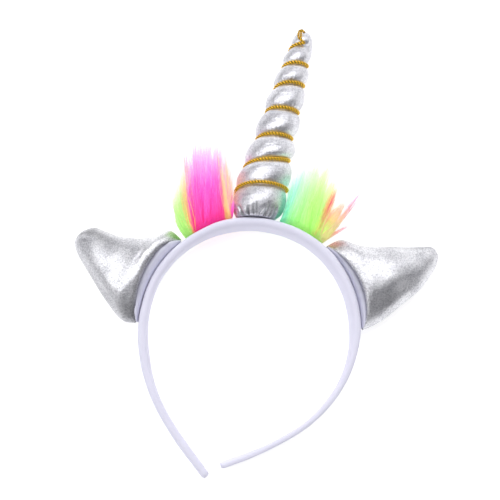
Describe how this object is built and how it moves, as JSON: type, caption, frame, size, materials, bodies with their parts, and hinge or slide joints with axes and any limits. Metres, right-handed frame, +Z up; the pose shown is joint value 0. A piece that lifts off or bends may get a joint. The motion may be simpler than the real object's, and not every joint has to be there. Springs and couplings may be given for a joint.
{
  "type": "unicorn horn headband",
  "caption": "Padded satin headband with a stuffed silver spiral horn wound with gold rope, silver padded ears and tufts of bright long fur, for costume wear on the head.",
  "frame": {"origin": "middle of the footprint, on the surface that the headband lies on", "axes": "+Y from the band's ends over the crown towards the horn's tip, +X towards the ear on the right of the picture, +Z up from the surface through the front of the headband"},
  "size_m": [0.223, 0.2822, 0.034],
  "materials": {
    "satin": "smooth satin",
    "horn_lame": "silver metallic knit",
    "gold_rope": "twisted metallic rope",
    "ear_lame": "silver metallic knit",
    "lining": "matt",
    "pink_fur": "long pile",
    "lime_fur": "long pile"
  },
  "bodies": {
    "root": {"band": "satin", "horn": "horn_lame", "gold_cord": "gold_rope", "ear_left": "ear_lame", "ear_right": "ear_lame", "ear_base_left": "lining", "ear_base_right": "lining", "fur_left": "pink_fur", "fur_right": "lime_fur"}
  },
  "joints": []
}
